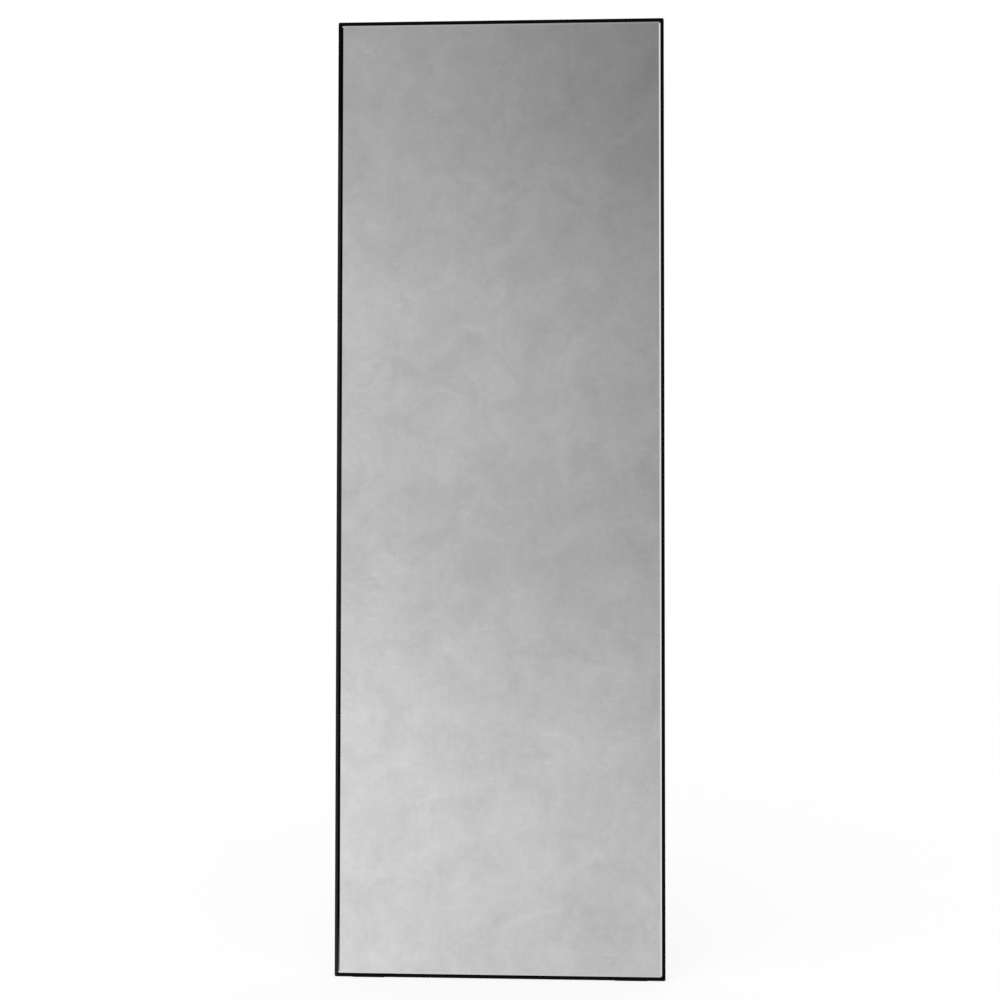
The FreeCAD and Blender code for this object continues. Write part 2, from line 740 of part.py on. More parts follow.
for run in screw_runs():
    frame_bar(*run)
for corner_name in CORNERS:
    corner_key(corner_name)
corner_key_screws()
mirror_glass()
safety_film()
tape_strips()
backing_board()
board_screws()
setting_blocks()
for hand_name, hand_side in (("left", -1), ("right", 1)):
    hanger_strap("hanger_strap_" + hand_name, hand_side)
    hanger_ring("hanger_ring_" + hand_name, hand_side)
    wall_bumper("wall_bumper_top_" + hand_name, hand_side, "frame_top - bumper_reach")
    wall_bumper("wall_bumper_bottom_" + hand_name, hand_side, "foot_thickness + bumper_reach")
    foot_pad("foot_pad_" + hand_name, hand_side)
hanger_screws()
doc.recompute()

for item in doc.Objects:
    if "Invalid" in item.State or "Error" in item.State:
        raise RuntimeError(f"{item.Label} failed: {item.State}")
os.makedirs("parts", exist_ok=True)
for node in NODES:
    shape = node.Shape
    if shape.isNull() or not shape.isValid() or not shape.Solids:
        raise RuntimeError(f"{node.Label} has no sound solid")
    shape.exportStep(f"parts/{node.Label}.step")
    box = shape.BoundBox
    print(f"{node.Label}: {len(shape.Solids)} solids, {shape.Volume:.0f} mm3, "
          f"x {box.XMin:.2f}..{box.XMax:.2f} y {box.YMin:.2f}..{box.YMax:.2f} z {box.ZMin:.2f}..{box.ZMax:.2f}")
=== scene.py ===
import math

import bpy
import numpy as np
from mathutils import Matrix, Vector


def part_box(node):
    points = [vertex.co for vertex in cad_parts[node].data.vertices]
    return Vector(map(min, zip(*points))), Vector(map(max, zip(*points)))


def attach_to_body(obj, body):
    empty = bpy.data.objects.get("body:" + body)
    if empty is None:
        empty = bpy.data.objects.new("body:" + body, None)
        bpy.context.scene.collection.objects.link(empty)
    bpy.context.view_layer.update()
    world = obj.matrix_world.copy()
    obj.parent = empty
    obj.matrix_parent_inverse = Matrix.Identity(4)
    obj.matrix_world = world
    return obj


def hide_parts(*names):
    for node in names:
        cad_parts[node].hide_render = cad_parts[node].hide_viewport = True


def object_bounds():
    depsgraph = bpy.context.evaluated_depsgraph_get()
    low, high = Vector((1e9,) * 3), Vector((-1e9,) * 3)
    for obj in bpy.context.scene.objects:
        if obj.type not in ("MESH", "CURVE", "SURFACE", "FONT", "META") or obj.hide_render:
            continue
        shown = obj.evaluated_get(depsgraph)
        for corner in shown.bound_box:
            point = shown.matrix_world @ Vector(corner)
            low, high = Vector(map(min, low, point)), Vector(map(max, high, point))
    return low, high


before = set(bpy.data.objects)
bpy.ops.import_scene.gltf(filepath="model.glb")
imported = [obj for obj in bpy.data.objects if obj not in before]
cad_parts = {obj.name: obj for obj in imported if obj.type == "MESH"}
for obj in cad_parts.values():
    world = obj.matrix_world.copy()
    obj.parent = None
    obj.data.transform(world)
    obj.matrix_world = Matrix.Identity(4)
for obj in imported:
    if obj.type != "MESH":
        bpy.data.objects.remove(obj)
cad_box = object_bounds()

# The leaning floor mirror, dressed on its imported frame. Metres; width along X, the glass
# faces -Y, +Z is up.

FRAME_LOW, FRAME_HIGH = cad_box
GLASS_LOW, GLASS_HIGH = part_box("mirror_glass")
CORNER_NAMES = ("bottom_left", "bottom_right", "top_left", "top_right")


# ---------------------------------------------------------------- node helpers


def attach(tree, socket, value):
    """Link an output to a socket, or write a plain value there."""
    if isinstance(value, bpy.types.NodeSocket):
        tree.links.new(value, socket)
    else:
        socket.default_value = value


def add(tree, kind, inputs, **settings):
    """Add a node, set its options and fill its inputs by name or number."""
    node = tree.nodes.new(kind)
    for name, value in settings.items():
        setattr(node, name, value)
    for key, value in inputs.items():
        attach(tree, node.inputs[key], value)
    return node


def calc(tree, operation, first, second=0.0, clamp=False):
    """One sum on numbers."""
    inputs = {0: first, 1: second}
    return add(tree, "ShaderNodeMath", inputs, operation=operation, use_clamp=clamp).outputs[0]


def held(tree, value, low, high):
    """Keep a number from low to high."""
    return calc(tree, "MINIMUM", calc(tree, "MAXIMUM", value, low), high)


def span(tree, value, low, high, start=0.0, end=1.0):
    """Carry value smoothly from start to end as it goes from low to high."""
    inputs = {"Value": value, "From Min": low, "From Max": high, "To Min": start, "To Max": end}
    return add(tree, "ShaderNodeMapRange", inputs, interpolation_type="SMOOTHSTEP").outputs[0]


def strip(tree, value, start, full, fading, end):
    """Rise from 0 at start to 1 at full, and fall from 1 at fading to 0 at end."""
    rise = span(tree, value, start, full)
    return calc(tree, "MULTIPLY", rise, span(tree, value, fading, end, start=1.0, end=0.0))


def blend(tree, factor, first, second):
    """Mix two colours."""
    inputs = {"Factor": factor, 6: first, 7: second}
    return add(tree, "ShaderNodeMix", inputs, data_type="RGBA").outputs[2]


def blend_numbers(tree, factor, first, second):
    """Mix two numbers."""
    return add(tree, "ShaderNodeMix", {"Factor": factor, 2: first, 3: second}).outputs[0]


def axes_of(tree, vector):
    """Split a vector into its three parts."""
    return add(tree, "ShaderNodeSeparateXYZ", {"Vector": vector}).outputs


def stretched(tree, vector, scale, turn=0.0):
    """Turn a pattern's coordinates about Y and stretch them."""
    inputs = {"Vector": vector, "Rotation": (0.0, turn, 0.0), "Scale": scale}
    return add(tree, "ShaderNodeMapping", inputs).outputs[0]


def noise(tree, vector, scale=1.0, detail=3.0, roughness=0.5, distortion=0.0):
    """Soft noise from 0 to 1."""
    inputs = {"Vector": vector, "Scale": scale, "Detail": detail}
    inputs.update({"Roughness": roughness, "Distortion": distortion})
    return add(tree, "ShaderNodeTexNoise", inputs).outputs["Fac"]


def layered(tree, parts):
    """Add up patterns, each centred on nought and weighted: parts are (value, weight)."""
    total = 0.0
    for value, weight in parts:
        centred = calc(tree, "SUBTRACT", value, 0.5)
        total = calc(tree, "ADD", calc(tree, "MULTIPLY", centred, weight), total)
    return total


def share_of(tree, pattern):
    """Turn a pattern centred on nought into a share from 0 to 1, to mix two colours."""
    return calc(tree, "ADD", pattern, 0.5, clamp=True)


def grey(level):
    """A neutral colour."""
    return (level, level, level, 1.0)


def start_material(name):
    """Return a new material, its tree, its shader and its object coordinates."""
    material = bpy.data.materials.new(name)
    material.use_nodes = True
    tree = material.node_tree
    shader = tree.nodes["Principled BSDF"]
    place = tree.nodes.new("ShaderNodeTexCoord").outputs["Object"]
    return material, tree, shader, place


def cover(tree, shader, colour, roughness, height, distance):
    """Give a shader its colour, its roughness and a relief, distance metres high."""
    bump = add(tree, "ShaderNodeBump", {"Height": height, "Distance": distance}).outputs[0]
    attach(tree, shader.inputs["Base Color"], colour)
    attach(tree, shader.inputs["Roughness"], roughness)
    attach(tree, shader.inputs["Normal"], bump)


def dress(material, *nodes):
    """Give a material to CAD nodes."""
    for name in nodes:
        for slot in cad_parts[name].material_slots:
            slot.material = material


# ---------------------------------------------------------------- finishes

# A pattern is stretched by how many features it has in a metre along X, Y and Z.
DIE_LINES_ALONG_X, DIE_LINES_ALONG_Z = (14.0, 900.0, 900.0), (900.0, 900.0, 14.0)
# Stretches for the upright streaks and slanting wisps of the painted reflection on the glass.
UPRIGHT_STREAKS, SLANTING_WISPS = (90.0, 1.0, 14.0), (26.0, 1.0, 90.0)
PRESSED_FIBRES = (190.0, 190.0, 700.0)
ROLLED_KEYS, ROLLED_SCREWS = (300.0, 60.0, 300.0), (900.0, 200.0, 900.0)
ROLLED_STRAPS = (700.0, 200.0, 120.0)
WISP_TURN, FIBRE_TURN = math.radians(48.0), 0.6

COAT_BLACK, COAT_WORN = grey(0.001), grey(0.0022)
# Painted sheen: the left stile's coat runs from dark to pale, with plain black above the sheen's top.
SHEEN_DARK, SHEEN_PALE, BLACK_WITHOUT_SHEEN = grey(0.0145), grey(0.026), grey(0.0016)
# The silver's dark-to-pale range carries a painted reflection; the bevel's silver is plain.
REFLECTION_DARK_SILVER, REFLECTION_PALE_SILVER, BEVEL_SILVER = grey(0.7), grey(0.972), grey(0.91)
BOARD_DARK, BOARD_PALE = (0.3, 0.2, 0.115, 1.0), (0.58, 0.44, 0.3, 1.0)
BOARD_FLECK = (0.15, 0.095, 0.055, 1.0)
ZINC, BRIGHT_ZINC = (0.62, 0.63, 0.64, 1.0), (0.68, 0.68, 0.67, 1.0)
NICKEL = (0.7, 0.68, 0.64, 1.0)
RUBBER_DARK, RUBBER_PALE = grey(0.012), grey(0.03)
FILM_DARK, FILM_PALE = (0.2, 0.215, 0.23, 1.0), (0.3, 0.315, 0.33, 1.0)
TAPE_DARK, TAPE_PALE = grey(0.62), (0.8, 0.8, 0.77, 1.0)

# Painted sheen on the left stile: the height where it ends, how soft that end is, and how ragged.
SHEEN_TOP = FRAME_HIGH[2] - 0.19
SHEEN_EDGE = 0.04
SHEEN_RAGGED = 0.12
COAT_ROUGHNESS, COAT_IOR = 0.42, 1.17
BEVEL_WIDTH, BEVEL_LINE = 0.0028, 0.0001
WISP_WEIGHT = 0.3
TARNISH_SHADE = 0.72
FLECK_SHARE = 0.5
BOARD_ROUGHNESS = 0.8
COAT_RELIEF, PLATE_RELIEF, SOFT_RELIEF, BOARD_RELIEF = 0.000005, 0.00003, 0.00004, 0.00008


def powder_coat(name, along, dark, light, sheen_top=None):
    """Matt black powder coat: orange peel, faint die lines along the bar, handling marks.

    Given a top height, dark and light carry a painted sheen, and above that height the bar turns plain
    black over a soft and slightly ragged edge.
    """
    material, tree, shader, place = start_material(name)
    lines = noise(tree, stretched(tree, place, along), detail=2.0, roughness=0.6)
    peel = noise(tree, place, scale=1400.0, detail=1.0)
    marks = noise(tree, place, scale=9.0, detail=4.0, roughness=0.6, distortion=0.4)
    tone = span(tree, layered(tree, [(marks, 0.6), (lines, 0.4)]), -0.25, 0.25)
    colour = blend(tree, tone, dark, light)
    # Painted sheen: below the given top the coat keeps its paler colour, and above it the coat turns
    # plain black.
    if sheen_top is not None:
        ragged = layered(tree, [(marks, SHEEN_RAGGED)])
        height = calc(tree, "ADD", axes_of(tree, place)[2], ragged)
        sheen_gone = span(tree, height, sheen_top - SHEEN_EDGE, sheen_top + SHEEN_EDGE)
        colour = blend(tree, sheen_gone, colour, BLACK_WITHOUT_SHEEN)
    uneven = layered(tree, [(marks, 0.14), (lines, 0.08), (peel, 0.04)])
    roughness = calc(tree, "ADD", uneven, COAT_ROUGHNESS)
    raised = layered(tree, [(peel, 1.0), (lines, 0.4)])
    cover(tree, shader, colour, roughness, raised, COAT_RELIEF)
    shader.inputs["IOR"].default_value = COAT_IOR
    return material


def silvered_glass():
    """Silvered float glass whose colour carries a painted reflection of a cloudy backdrop, with clouds,
    upright streaks and slanting wisps; the bevel is plain silver.

    The bevel is where |x| or |z - middle| comes within its width of the pane's edge.
    """
    material, tree, shader, place = start_material("silvered_glass")
    # Painted reflection: these patterns cloud the silver's colour the way a mirrored backdrop would.
    clouds = noise(tree, place, scale=3.6, distortion=0.6)
    blotches = noise(tree, place, scale=13.0, roughness=0.6, distortion=0.8)
    swirls = noise(tree, place, scale=38.0, roughness=0.6, distortion=1.6)
    grain = noise(tree, place, scale=130.0, roughness=0.7, distortion=0.4)
    upright = stretched(tree, place, UPRIGHT_STREAKS)
    streaks = noise(tree, upright, roughness=0.6, distortion=0.3)
    slanted = stretched(tree, place, SLANTING_WISPS, turn=WISP_TURN)
    wisps = noise(tree, slanted, detail=4.0, roughness=0.65, distortion=0.8)
    patches = span(tree, noise(tree, place, scale=6.0, detail=2.0), 0.45, 0.65)
    reflected_wisps = calc(tree, "MULTIPLY", span(tree, wisps, 0.54, 0.74), patches)
    broad = [(clouds, 0.6), (blotches, 1.0)]
    painted_reflection = layered(tree, broad + [(swirls, 0.4), (grain, 0.4), (streaks, 0.15)])
    painted_reflection = calc(tree, "ADD", painted_reflection, calc(tree, "MULTIPLY", reflected_wisps, WISP_WEIGHT))
    x, _, z = axes_of(tree, place)
    middle = (GLASS_LOW[2] + GLASS_HIGH[2]) / 2
    half_height = (GLASS_HIGH[2] - GLASS_LOW[2]) / 2
    across = calc(tree, "SUBTRACT", calc(tree, "ABSOLUTE", x), GLASS_HIGH[0] - BEVEL_WIDTH)
    from_middle = calc(tree, "ABSOLUTE", calc(tree, "SUBTRACT", z, middle))
    up = calc(tree, "SUBTRACT", from_middle, half_height - BEVEL_WIDTH)
    bevel = span(tree, calc(tree, "MAXIMUM", across, up), -BEVEL_LINE, BEVEL_LINE)
    # Painted reflection in the silver's colour, with plain silver on the bevel.
    silver = blend(tree, share_of(tree, painted_reflection), REFLECTION_DARK_SILVER, REFLECTION_PALE_SILVER)
    attach(tree, shader.inputs["Base Color"], blend(tree, bevel, silver, BEVEL_SILVER))
    attach(tree, shader.inputs["Roughness"], span(tree, painted_reflection, -0.1, 0.35, start=0.0, end=0.05))
    shader.inputs["Metallic"].default_value = 1.0
    return material


def plated_steel(name, colour, rolled_grain, roughness):
    """Plated steel: fine rolled grain and soft tarnish."""
    material, tree, shader, place = start_material(name)
    rolled = noise(tree, stretched(tree, place, rolled_grain), roughness=0.6)
    tarnish = noise(tree, place, scale=60.0, detail=4.0, roughness=0.6, distortion=0.5)
    tone = share_of(tree, layered(tree, [(tarnish, 0.9), (rolled, 0.4)]))
    darker = tuple(TARNISH_SHADE * part for part in colour[:3]) + (1.0,)
    uneven = layered(tree, [(tarnish, 0.25), (rolled, 0.15)])
    gloss = calc(tree, "ADD", uneven, roughness)
    cover(tree, shader, blend(tree, tone, darker, colour), gloss, rolled, PLATE_RELIEF)
    shader.inputs["Metallic"].default_value = 1.0
    return material


def fibre_board():
    """Bare fibre board: pressed fibres, dark flecks and a slow change of tone."""
    material, tree, shader, place = start_material("fibre_board")
    fine = noise(tree, place, scale=900.0, detail=4.0, roughness=0.7)
    pressed = stretched(tree, place, PRESSED_FIBRES, turn=FIBRE_TURN)
    fibres = noise(tree, pressed, detail=4.0, roughness=0.7, distortion=1.2)
    blotches = noise(tree, place, scale=5.0, detail=4.0, roughness=0.55)
    specks = noise(tree, place, scale=320.0, roughness=0.6, distortion=0.6)
    flecks = calc(tree, "MULTIPLY", span(tree, specks, 0.6, 0.72), FLECK_SHARE)
    tone = share_of(tree, layered(tree, [(fine, 0.9), (fibres, 1.1), (blotches, 0.8)]))
    colour = blend(tree, flecks, blend(tree, tone, BOARD_DARK, BOARD_PALE), BOARD_FLECK)
    uneven = layered(tree, [(fine, 0.1), (blotches, 0.1)])
    roughness = calc(tree, "ADD", uneven, BOARD_ROUGHNESS)
    raised = layered(tree, [(fine, 0.6), (fibres, 0.6)])
    cover(tree, shader, colour, roughness, raised, BOARD_RELIEF)
    return material


def soft_sheet(name, dark, light, scale, roughness):
    """Rubber, film or tape: a fine grain over a slow change of tone."""
    material, tree, shader, place = start_material(name)
    grain = noise(tree, place, scale=scale, roughness=0.6)
    drift = noise(tree, place, scale=40.0)
    tone = share_of(tree, layered(tree, [(grain, 0.8), (drift, 0.8)]))
    uneven = layered(tree, [(grain, 0.2), (drift, 0.1)])
    gloss = calc(tree, "ADD", uneven, roughness)
    cover(tree, shader, blend(tree, tone, dark, light), gloss, grain, SOFT_RELIEF)
    return material


rail_coat = powder_coat("black_coat_rails", DIE_LINES_ALONG_X, COAT_BLACK, COAT_WORN)
dress(rail_coat, "frame_rail_bottom", "frame_rail_top")
right_coat = powder_coat("black_coat_right", DIE_LINES_ALONG_Z, COAT_BLACK, COAT_WORN)
dress(right_coat, "frame_stile_right")
# The left stile's paler coat is a painted sheen.
left_sheen_coat = powder_coat("painted_sheen_coat_left", DIE_LINES_ALONG_Z, SHEEN_DARK, SHEEN_PALE, SHEEN_TOP)
dress(left_sheen_coat, "frame_stile_left")
dress(silvered_glass(), "mirror_glass")
dress(fibre_board(), "backing_board")
zinc = plated_steel("zinc_plate", ZINC, ROLLED_KEYS, roughness=0.38)
dress(zinc, *["corner_key_" + name for name in CORNER_NAMES])
bright_zinc = plated_steel("bright_zinc", BRIGHT_ZINC, ROLLED_SCREWS, roughness=0.3)
dress(bright_zinc, "corner_key_screws", "backing_board_screws", "hanger_screws")
nickel = plated_steel("nickel_plate", NICKEL, ROLLED_STRAPS, roughness=0.24)
dress(nickel, "hanger_strap_left", "hanger_strap_right", "hanger_ring_left", "hanger_ring_right")
rubber = soft_sheet("black_rubber", RUBBER_DARK, RUBBER_PALE, scale=1500.0, roughness=0.7)
dress(rubber, "glass_setting_blocks", "foot_pad_left", "foot_pad_right")
dress(rubber, *["wall_bumper_" + name for name in CORNER_NAMES])
film = soft_sheet("backing_film", FILM_DARK, FILM_PALE, scale=700.0, roughness=0.45)
dress(film, "safety_film")
tape = soft_sheet("foam_tape", TAPE_DARK, TAPE_PALE, scale=1100.0, roughness=0.75)
dress(tape, "bonding_tape_strips")


# ---------------------------------------------------------------- finer pieces for CAD nodes

BACK = FRAME_HIGH[1]
BAR_MIDDLE = 0.0112
SHELF_BACK = FRAME_LOW[1] + 0.0168
SHARP_EDGE = math.radians(35.0)

# The board's screws: from the corner to the first one, and how many lie in each stile.
FIRST_SCREW, STILE_SCREWS = 0.130, 4
# The straps: their sheet, and from their upper and lower ends to the nearest hole.
STRAP_SHEET, UPPER_HOLE, LOWER_HOLE = 0.0012, 0.0134, 0.007
# Each screw is turned by this from the last, so that no two recesses look alike.
GOLDEN_ANGLE = 2.39996

BOARD_SCREW = {"shank": 0.0039, "length": 0.008, "head": 0.0074, "crown": 0.0023, "rim": 0.0008}
HANGER_SCREW = {"shank": 0.0035, "length": 0.0086, "head": 0.0068, "crown": 0.0021, "rim": 0.0008}
SCREW_SIDES, DOME_RINGS = 72, 30
DOME_HUB, DOME_POWER = 0.02, 2.6
RIM_FOOT, HEAD_ARRIS, TIP_RADIUS = 0.25, 0.00012, 0.0004
# The cross recess: two shares of the head, one of its crown, and the slope of its walls.
WING_REACH, WING_HALF, WING_DEPTH, WING_WALL = 0.27, 0.06, 0.55, 0.00012

STEM_HALF, BARB_HALF, LIP_THICKNESS = 0.0039, 0.0048, 0.0016
HEAD_THICKNESS, HEAD_EDGE, HEAD_CORNER, HEAD_CROWN = 0.0015, 0.0007, 0.003, 0.00025
GROOVE_DEPTH, GROOVE_PITCH, GROOVE_FADE, GROOVE_POWER = 0.0003, 0.005, 0.004, 8
END_DROP, END_ROUND = 0.0004, 0.0006
END_ROWS, FIRST_ROW, ROW_COUNT = (0.0, 0.0002, 0.0006), 0.001, 110
BACK_SHARE, BACK_POINTS = 0.93, 15


def closed_skin(rings):
    """Points and faces of a closed skin, facing outward.

    Equal rings are joined in order, with a fan at each end. The sum of p . (q x r) over the
    quads' triangles is six times their volume, and where it is negative each face is turned.
    """
    count, around = rings.shape[:2]
    hubs = [rings[:1].mean(axis=1), rings[-1:].mean(axis=1)]
    points = np.concatenate([rings.reshape(-1, 3), *hubs])
    row, step = np.meshgrid(np.arange(count - 1), np.arange(around), indexing="ij")
    here, after = row * around + step, row * around + (step + 1) % around
    quads = np.stack([here, after, after + around, here + around], axis=-1).reshape(-1, 4)
    edge, following = np.arange(around), (np.arange(around) + 1) % around
    last, hub = (count - 1) * around, np.full(around, count * around)
    first_fan = np.stack([following, edge, hub], axis=1)
    last_fan = np.stack([last + edge, last + following, hub + 1], axis=1)
    corners = points[quads]
    volume = 0.0
    for second, third in ((1, 2), (2, 3)):
        normals = np.cross(corners[:, second], corners[:, third])
        volume += np.einsum("ij,ij->i", corners[:, 0], normals).sum()
    faces = quads.tolist() + first_fan.tolist() + last_fan.tolist()
    if volume < 0:
        faces = [face[::-1] for face in faces]
    return points, faces


def piece(name, skins, material, slot, body, *nodes):
    """One object of closed skins, smooth but for its sharp edges, standing for CAD nodes."""
    points, faces, base = [], [], 0
    for skin_points, skin_faces in skins:
        points.append(skin_points)
        faces += [[base + corner for corner in face] for face in skin_faces]
        base += len(skin_points)
    mesh = bpy.data.meshes.new(name)
    mesh.from_pydata(np.concatenate(points).tolist(), [], faces)
    mesh.shade_smooth()
    mesh.set_sharp_from_angle(angle=SHARP_EDGE)
    mesh.materials.append(material)
    made = bpy.data.objects.new(name, mesh)
    bpy.context.collection.objects.link(made)
    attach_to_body(made, body)
    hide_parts(*nodes)


def pan_screw(place, turn, shank, length, head, crown, rim):
    """A pan-head screw along Y with a cross recess, the flat underside of its head at place.

    The head's top is a flattened dome, h = rim + (crown - rim) (1 - (r / R)^2.6)^0.5. Each
    wing of the recess takes off D (1 - (s / L)^2) where |t| is under half its width, with s
    along the wing and t across it.
    """
    radius = head / 2
    share = np.linspace(DOME_HUB, 1.0, DOME_RINGS)
    dome = np.stack([radius * share, rim + (crown - rim) * np.sqrt(1 - share ** DOME_POWER)], axis=1)
    under = [(radius, rim * RIM_FOOT), (radius - HEAD_ARRIS, 0.0)]
    under += [(shank / 2, 0.0), (shank / 2, -length), (TIP_RADIUS, -length)]
    outline = np.concatenate([dome, under])
    angles = np.linspace(0.0, math.tau, SCREW_SIDES, endpoint=False)
    across = outline[:, :1] * np.cos(angles)
    along = outline[:, :1] * np.sin(angles)
    height = np.repeat(outline[:, 1:], SCREW_SIDES, axis=1)
    dug = np.zeros_like(height)
    for s, t in ((across, along), (along, across)):
        wing = 1 - np.clip(np.abs(s) / (WING_REACH * head), 0, 1) ** 2
        inside = np.clip((WING_HALF * head - np.abs(t)) / WING_WALL, 0, 1)
        dug = np.maximum(dug, wing * inside)
    height[:DOME_RINGS] -= WING_DEPTH * crown * dug[:DOME_RINGS]
    cosine, sine = math.cos(turn), math.sin(turn)
    x, z = across * cosine - along * sine, across * sine + along * cosine
    return closed_skin(np.stack([x, height, z], axis=-1) + np.array(place))


def board_screw_places():
    """Where the screws through the shelf lie: two in each rail, four in each stile."""
    left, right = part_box("frame_stile_left")[0][0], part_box("frame_stile_right")[1][0]
    foot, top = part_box("frame_rail_bottom")[0][2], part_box("frame_rail_top")[1][2]
    places = []
    for x in (left + FIRST_SCREW, right - FIRST_SCREW):
        places += [(x, SHELF_BACK, z) for z in (foot + BAR_MIDDLE, top - BAR_MIDDLE)]
    heights = np.linspace(foot + FIRST_SCREW, top - FIRST_SCREW, STILE_SCREWS)
    for x in (left + BAR_MIDDLE, right - BAR_MIDDLE):
        places += [(x, SHELF_BACK, z) for z in heights]
    return places


def hanger_screw_places():
    """Where the straps' screws lie: the upper on two layers of metal, the lower on one."""
    places = []
    for side in ("left", "right"):
        low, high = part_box("hanger_strap_" + side)
        x = (low[0] + high[0]) / 2
        places.append((x, low[1] + 2 * STRAP_SHEET, high[2] - UPPER_HOLE))
        places.append((x, low[1] + STRAP_SHEET, low[2] + LOWER_HOLE))
    return places


def wall_bumper(node):
    """A rubber T-section: head behind the frame, stem between the lips, a barb behind each.

    At d from its end the head's half width is w(d) = W - (c - sqrt(c^2 - (c - d)^2)), with
    c the corner. Its back is crowned by k (x / w)^2, and at height z from the lower end a
    groove g cos^8(pi z / p) deep runs across it.
    """
    low, high = (np.array(corner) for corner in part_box(node))
    middle, length, half = (low + high) / 2, high[2] - low[2], (high[0] - low[0]) / 2
    ends, inner = np.array(END_ROWS), np.linspace(FIRST_ROW, length - FIRST_ROW, ROW_COUNT)
    z = np.concatenate([ends, inner, length - ends[::-1]])[:, None]
    end = np.minimum(z, length - z)
    short = HEAD_CORNER - np.minimum(end, HEAD_CORNER)
    wide = half - (HEAD_CORNER - np.sqrt(HEAD_CORNER ** 2 - short ** 2))
    drop = END_DROP * (1 - np.minimum(end / END_ROUND, 1.0))
    groove = GROOVE_DEPTH * np.cos(math.pi * z / GROOVE_PITCH) ** GROOVE_POWER
    groove *= np.minimum(end / GROOVE_FADE, 1.0)
    share = np.linspace(BACK_SHARE, -BACK_SHARE, BACK_POINTS)
    stem, barb = np.full_like(z, STEM_HALF), np.full_like(z, BARB_HALF)
    side = np.hstack([stem, barb, stem, stem, wide, wide])
    lip = BACK - HEAD_THICKNESS
    front = lip - LIP_THICKNESS
    side_depth = np.tile([low[1], front, front, lip, lip, BACK - HEAD_EDGE], (len(z), 1))
    back_depth = BACK - drop - HEAD_CROWN * share ** 2 - groove
    across = np.hstack([side, wide * share, -side[:, ::-1]])
    depth = np.hstack([side_depth, back_depth, side_depth[:, ::-1]])
    height = np.repeat(z, across.shape[1], axis=1)
    return closed_skin(np.stack([middle[0] + across, depth, low[2] + height], axis=-1))


for screw_node, screw, screw_places in (
        ("backing_board_screws", BOARD_SCREW, board_screw_places()),
        ("hanger_screws", HANGER_SCREW, hanger_screw_places())):
    screws = [pan_screw(spot, count * GOLDEN_ANGLE, **screw) for count, spot in enumerate(screw_places)]
    piece(screw_node + "_cross_recess", screws, bright_zinc, "screw_steel", "frame", screw_node)
for corner_name in CORNER_NAMES:
    bumper_node = "wall_bumper_" + corner_name
    skins = [wall_bumper(bumper_node)]
    piece(bumper_node + "_grooved", skins, rubber, "rubber", "frame", bumper_node)


# ---------------------------------------------------------------- studio

FLOOR_SIDE = 30.0
FLOOR_PALE, FLOOR_VARIES = 0.82, 0.005
FLOOR_SHADOW = 0.28
SKY_LEVEL = 0.72
SUN_LEVEL = 1.05
SUN_SPREAD = math.radians(70.0)
SUN_TURN = (math.radians(32.0), math.radians(-14.0), 0.0)

CARD_SIDES, CARD_HEIGHTS = (-0.24, 0.2), (-0.36, 0.4)
CARD_LEVEL, CARD_ACROSS, CARD_UP = 0.51, 0.79, 0.45
BAND_LEVEL, BAND_PLACE, BAND_PITCH = 0.028, 0.166, 0.379
PALE_STRIP, PALE_LEVEL = (0.36, 0.385, 0.445, 0.48), 0.74
DARK_STRIP, DARK_LEVEL = (-0.53, -0.495, -0.45, -0.42), 0.003
CARD_DARKEST, CARD_PALEST = 0.003, 0.9

IMAGE_SIDE = 1000
SENSOR_WIDTH = 36.0
EYE_PLACE = (0.0786, -2.1374, 0.795)
EYE_TURN = {"yaw": 2.1086, "pitch": 1.2644, "roll": 0.0684}
EYE_FOCUS = 1200.0


def studio_floor():
    """A pale floor that keeps the shadow.

    The glass doesn't see it, so that no horizon crosses the glass.
    """
    half = FLOOR_SIDE / 2
    corners = [(-half, -half, 0), (half, -half, 0), (half, half, 0), (-half, half, 0)]
    mesh = bpy.data.meshes.new("studio_floor")
    mesh.from_pydata(corners, [], [(0, 1, 2, 3)])
    floor = bpy.data.objects.new("studio_floor", mesh)
    bpy.context.collection.objects.link(floor)
    material = bpy.data.materials.new("pale_floor")
    material.use_nodes = True
    tree = material.node_tree
    tree.nodes.clear()
    place = tree.nodes.new("ShaderNodeTexCoord").outputs["Object"]
    patches = noise(tree, place, scale=5.0, detail=4.0, roughness=0.6)
    tone = span(tree, patches, 0.2, 0.8, FLOOR_PALE - FLOOR_VARIES, FLOOR_PALE + FLOOR_VARIES)
    paint = add(tree, "ShaderNodeBsdfDiffuse", {"Color": tone})
    shaded = calc(tree, "MULTIPLY", tone, FLOOR_SHADOW)
    faint = add(tree, "ShaderNodeBsdfDiffuse", {"Color": shaded})
    white = {"Color": grey(1.0), "Strength": 1.0 - FLOOR_PALE * FLOOR_SHADOW}
    glow = add(tree, "ShaderNodeEmission", white)
    lit = add(tree, "ShaderNodeAddShader", {0: faint.outputs[0], 1: glow.outputs[0]})
    seen = tree.nodes.new("ShaderNodeLightPath").outputs["Is Camera Ray"]
    shown = {0: seen, 1: paint.outputs[0], 2: lit.outputs[0]}
    mixed = add(tree, "ShaderNodeMixShader", shown)
    add(tree, "ShaderNodeOutputMaterial", {"Surface": mixed.outputs[0]})
    mesh.materials.append(material)
    floor.visible_glossy = False


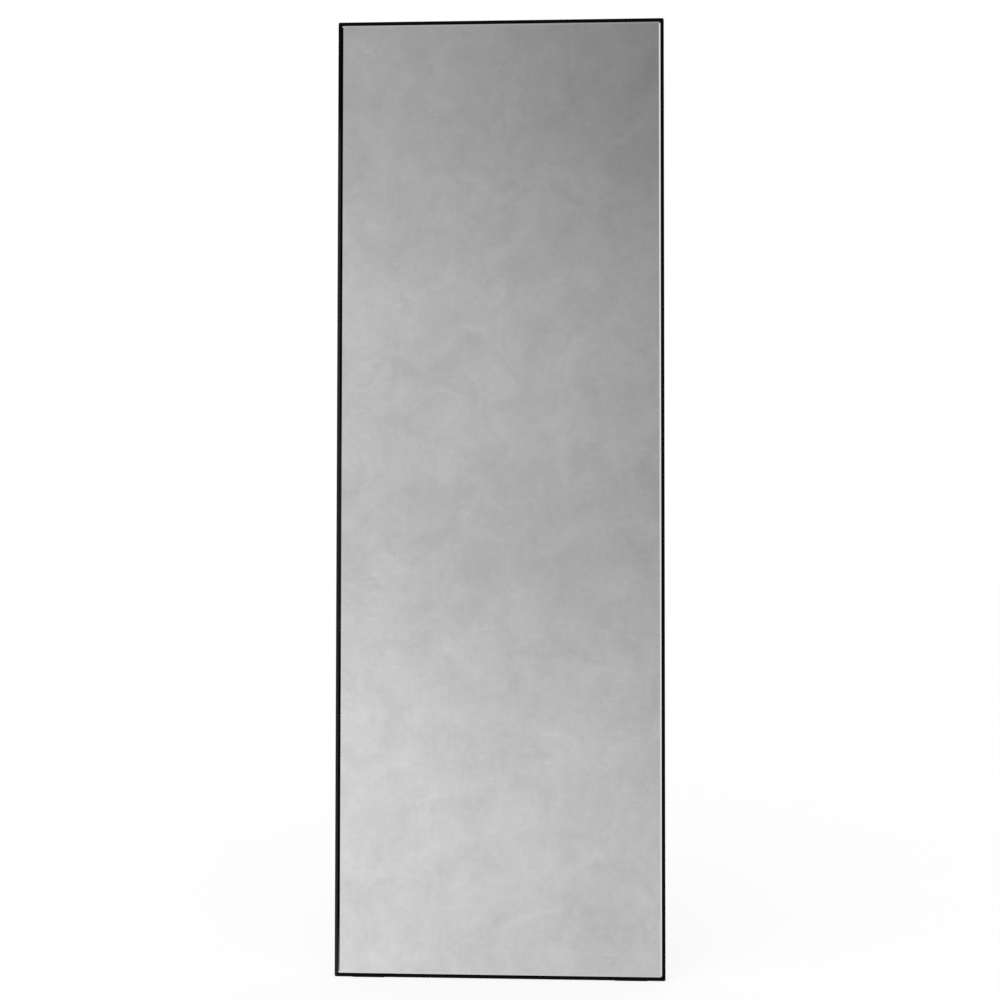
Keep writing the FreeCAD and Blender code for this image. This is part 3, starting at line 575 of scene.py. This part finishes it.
def card_levels(tree):
    """The grey that the glass mirrors from each direction (x, y, z).

    With x and z held to what the photograph's viewpoint mirrors, it is
    L + (a x + b z) y + c cos(2 pi (z - z0) / p): paler low and to the left, darker high and
    to the right, in soft level bands. Over it come a pale strip at the right and a dark one
    at the left, which at this viewpoint only the bevel sees.
    """
    x, y, z = axes_of(tree, tree.nodes.new("ShaderNodeTexCoord").outputs["Generated"])
    aside, above = held(tree, x, *CARD_SIDES), held(tree, z, *CARD_HEIGHTS)
    slope_across = calc(tree, "MULTIPLY", aside, CARD_ACROSS)
    slope = calc(tree, "ADD", slope_across, calc(tree, "MULTIPLY", above, CARD_UP))
    cards = calc(tree, "ADD", calc(tree, "MULTIPLY", slope, y), CARD_LEVEL)
    height = calc(tree, "SUBTRACT", above, BAND_PLACE)
    bands = calc(tree, "COSINE", calc(tree, "MULTIPLY", height, math.tau / BAND_PITCH))
    cards = calc(tree, "ADD", cards, calc(tree, "MULTIPLY", bands, BAND_LEVEL))
    in_front = span(tree, y, -0.45, -0.2, start=1.0, end=0.0)
    ahead = calc(tree, "MULTIPLY", in_front, span(tree, z, -0.46, -0.3))
    for edges, level in ((PALE_STRIP, PALE_LEVEL), (DARK_STRIP, DARK_LEVEL)):
        shown = calc(tree, "MULTIPLY", strip(tree, x, *edges), ahead)
        cards = blend_numbers(tree, shown, cards, level)
    return held(tree, cards, CARD_DARKEST, CARD_PALEST)


def background(tree, strength):
    """White light of a given strength from all around."""
    inputs = {"Color": grey(1.0), "Strength": strength}
    return add(tree, "ShaderNodeBackground", inputs).outputs[0]


def studio_surround():
    """White to the camera, soft light on the object, and cards for the glass to mirror."""
    world = bpy.data.worlds.new("studio")
    bpy.context.scene.world = world
    world.use_nodes = True
    tree = world.node_tree
    tree.nodes.clear()
    rays = tree.nodes.new("ShaderNodeLightPath").outputs
    soft, cards = background(tree, SKY_LEVEL), background(tree, card_levels(tree))
    lit = add(tree, "ShaderNodeMixShader", {0: rays["Is Glossy Ray"], 1: soft, 2: cards})
    shown = {0: rays["Is Camera Ray"], 1: lit.outputs[0], 2: background(tree, 1.0)}
    final = add(tree, "ShaderNodeMixShader", shown)
    add(tree, "ShaderNodeOutputWorld", {"Surface": final.outputs[0]})


def studio_sun():
    """One broad soft lamp from the upper left in front, which the glass doesn't see."""
    lamp = bpy.data.lights.new("soft_key", "SUN")
    lamp.energy = SUN_LEVEL
    lamp.angle = SUN_SPREAD
    holder = bpy.data.objects.new("soft_key", lamp)
    holder.rotation_euler = SUN_TURN
    holder.visible_glossy = False
    bpy.context.collection.objects.link(holder)


def eye(place, yaw, pitch, roll, focal_pixels):
    """The photograph's viewpoint, its angles in degrees.

    Yaw turns left from +Y, pitch tilts up, roll leans the picture.
    """
    yaw, pitch, roll = (math.radians(angle) for angle in (yaw, pitch, roll))
    flat = math.cos(pitch)
    ahead = Vector((-math.sin(yaw) * flat, math.cos(yaw) * flat, math.sin(pitch)))
    level = Vector((math.cos(yaw), math.sin(yaw), 0.0))
    above = level.cross(ahead)
    right = math.cos(roll) * level + math.sin(roll) * above
    turned = Matrix((right, right.cross(ahead), -ahead)).transposed().to_4x4()
    camera = bpy.data.cameras.new("eye")
    camera.sensor_width = SENSOR_WIDTH
    camera.lens = focal_pixels * SENSOR_WIDTH / IMAGE_SIDE
    holder = bpy.data.objects.new("eye", camera)
    holder.matrix_world = Matrix.Translation(place) @ turned
    bpy.context.collection.objects.link(holder)
    bpy.context.scene.camera = holder


studio_floor()
studio_surround()
studio_sun()
eye(EYE_PLACE, focal_pixels=EYE_FOCUS, **EYE_TURN)
bpy.context.scene.view_settings.view_transform = "Standard"
